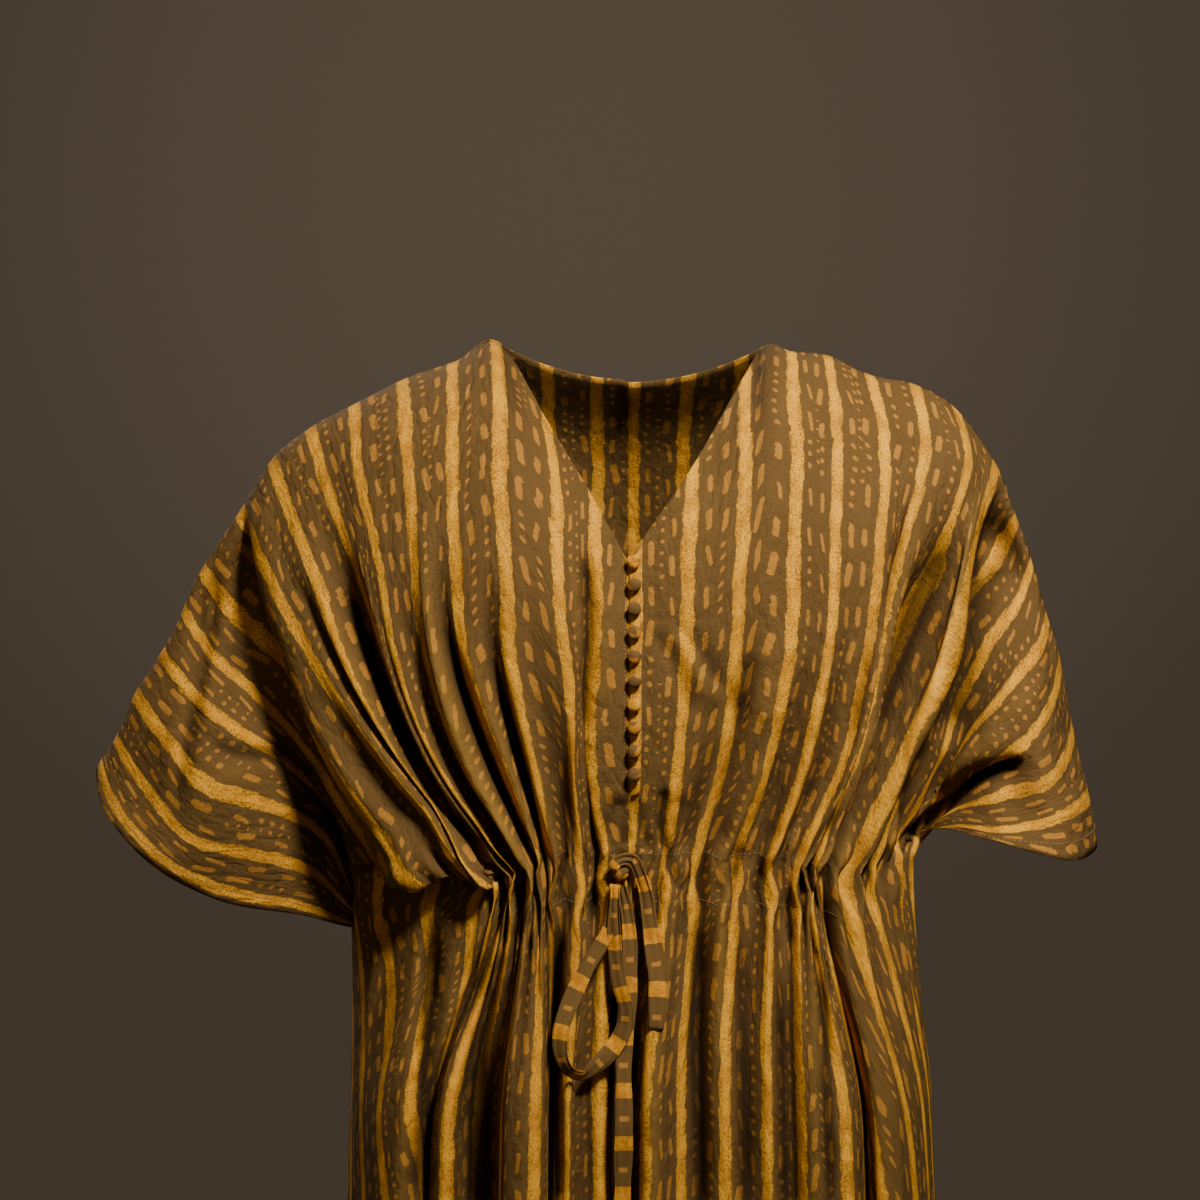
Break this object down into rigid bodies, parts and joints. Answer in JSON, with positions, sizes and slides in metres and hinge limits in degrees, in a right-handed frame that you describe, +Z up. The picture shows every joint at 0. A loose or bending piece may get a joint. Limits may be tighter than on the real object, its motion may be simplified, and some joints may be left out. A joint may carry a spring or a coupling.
{
  "type": "cotton kaftan",
  "caption": "Worn wide kaftan in printed cotton: V neck with a slit closed by cloth-covered ball buttons, wide sleeves cut in one, drawstring gathers at the front waist, long pleated skirt",
  "frame": {"origin": "between the shoulders, at the height of the neck's two shoulder corners, in the plane of the seams, where the wearer holds the garment up", "axes": "+Z up along the wearer, -Y to the front, +X to the viewer's right when the front is seen"},
  "size_m": [0.6945, 0.2995, 1.2597],
  "materials": {
    "printed_cotton": "matt woven cotton, olive brown with mustard stripes",
    "mustard_trim": "matt woven cotton, mustard"
  },
  "bodies": {
    "root": {"front_panel": "printed_cotton", "back_panel": "printed_cotton", "placket_strip": "mustard_trim", "button_01": "mustard_trim", "button_02": "mustard_trim", "button_03": "mustard_trim", "button_04": "mustard_trim", "button_05": "mustard_trim", "button_06": "mustard_trim", "button_07": "mustard_trim", "button_08": "mustard_trim", "button_09": "mustard_trim", "button_10": "mustard_trim", "tie_knot": "mustard_trim", "tie_tail_right": "mustard_trim", "tie_tail_left": "mustard_trim", "tie_loop": "mustard_trim"}
  },
  "joints": []
}
